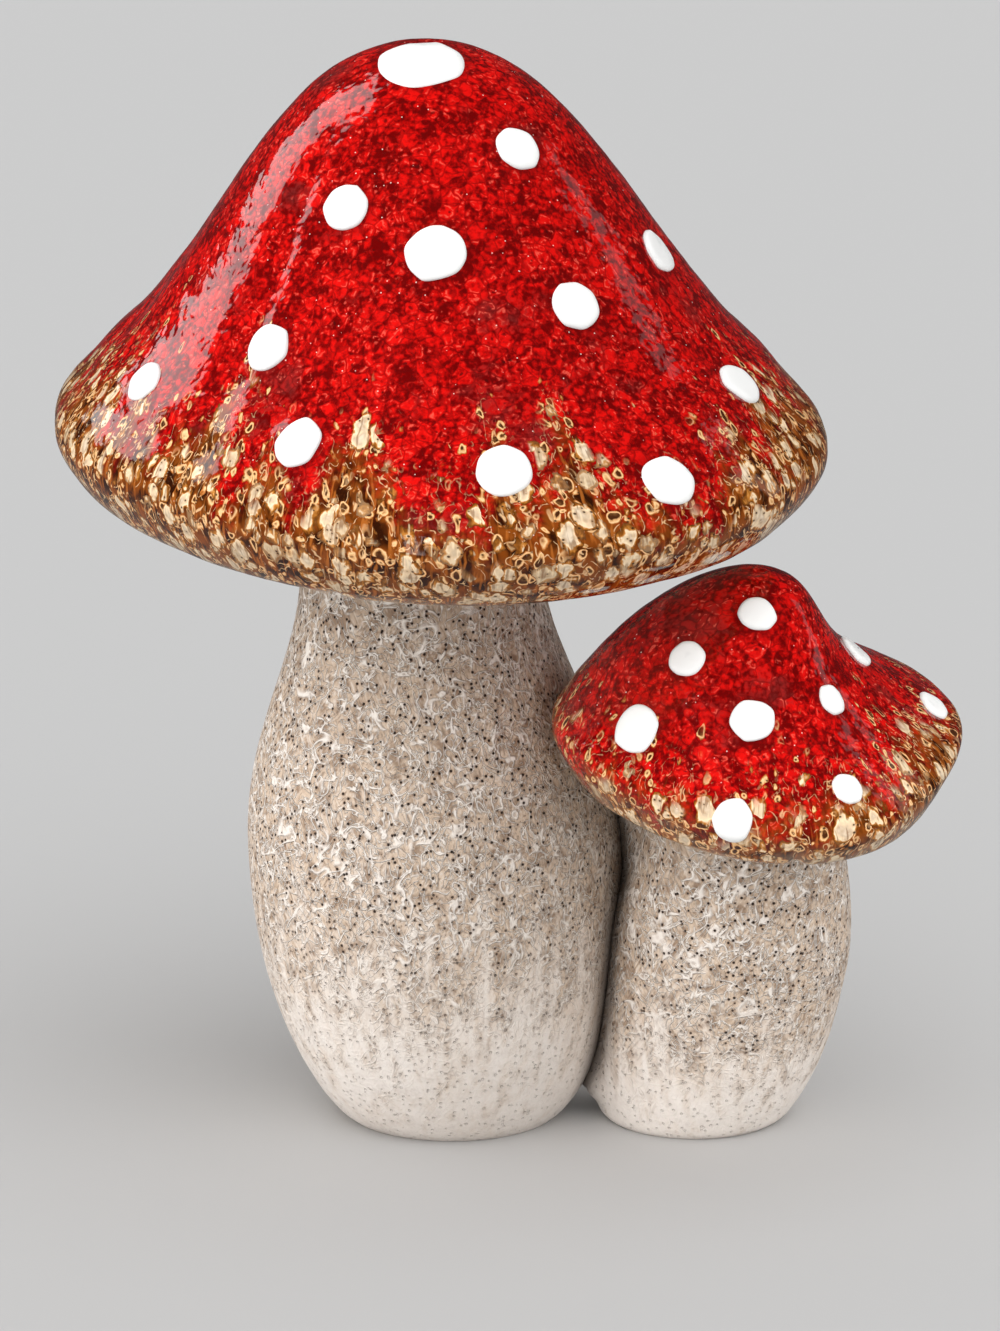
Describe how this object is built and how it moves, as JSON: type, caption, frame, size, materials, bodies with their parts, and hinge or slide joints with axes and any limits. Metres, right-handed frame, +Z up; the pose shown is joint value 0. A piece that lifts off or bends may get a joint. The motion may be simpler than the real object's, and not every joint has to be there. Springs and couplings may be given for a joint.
{
  "type": "ceramic mushroom ornament",
  "caption": "Free-standing pair of glazed stoneware toadstools, one tall and one short and leaning, with red spotted caps on speckled pale stems; a shelf or garden decoration.",
  "frame": {"origin": "on the floor, under the centre of the bounding box of the pair", "axes": "+Z up, -Y towards the viewer of the picture, +X to the right in the picture, where the short toadstool is"},
  "size_m": [0.1654, 0.151, 0.2006],
  "materials": {
    "red_reactive_glaze": "thick glossy reactive glaze, red running to amber and cream at the rim",
    "white_enamel": "raised glossy white relief enamel",
    "speckled_stoneware": "satin grey-beige with brown pinholes and pale streaks",
    "joining_slip": "satin fired slip"
  },
  "bodies": {
    "root": {"foot_web": "joining_slip", "large_cap": "red_reactive_glaze", "large_neck_bead": "joining_slip", "large_spot_01": "white_enamel", "large_spot_02": "white_enamel", "large_spot_03": "white_enamel", "large_spot_04": "white_enamel", "large_spot_05": "white_enamel", "large_spot_06": "white_enamel", "large_spot_07": "white_enamel", "large_spot_08": "white_enamel", "large_spot_09": "white_enamel", "large_spot_10": "white_enamel", "large_spot_11": "white_enamel", "large_spot_12": "white_enamel", "large_spot_13": "white_enamel", "large_spot_14": "white_enamel", "large_spot_15": "white_enamel", "large_spot_16": "white_enamel", "large_spot_17": "white_enamel", "large_spot_18": "white_enamel", "large_spot_19": "white_enamel", "large_spot_20": "white_enamel", "large_stem": "speckled_stoneware", "neck_web": "joining_slip", "small_cap": "red_reactive_glaze", "small_neck_bead": "joining_slip", "small_spot_01": "white_enamel", "small_spot_02": "white_enamel", "small_spot_03": "white_enamel", "small_spot_04": "white_enamel", "small_spot_05": "white_enamel", "small_spot_06": "white_enamel", "small_spot_07": "white_enamel", "small_spot_08": "white_enamel", "small_spot_09": "white_enamel", "small_spot_10": "white_enamel", "small_spot_11": "white_enamel", "small_spot_12": "white_enamel", "small_spot_13": "white_enamel", "small_spot_14": "white_enamel", "small_stem": "speckled_stoneware"}
  },
  "joints": []
}
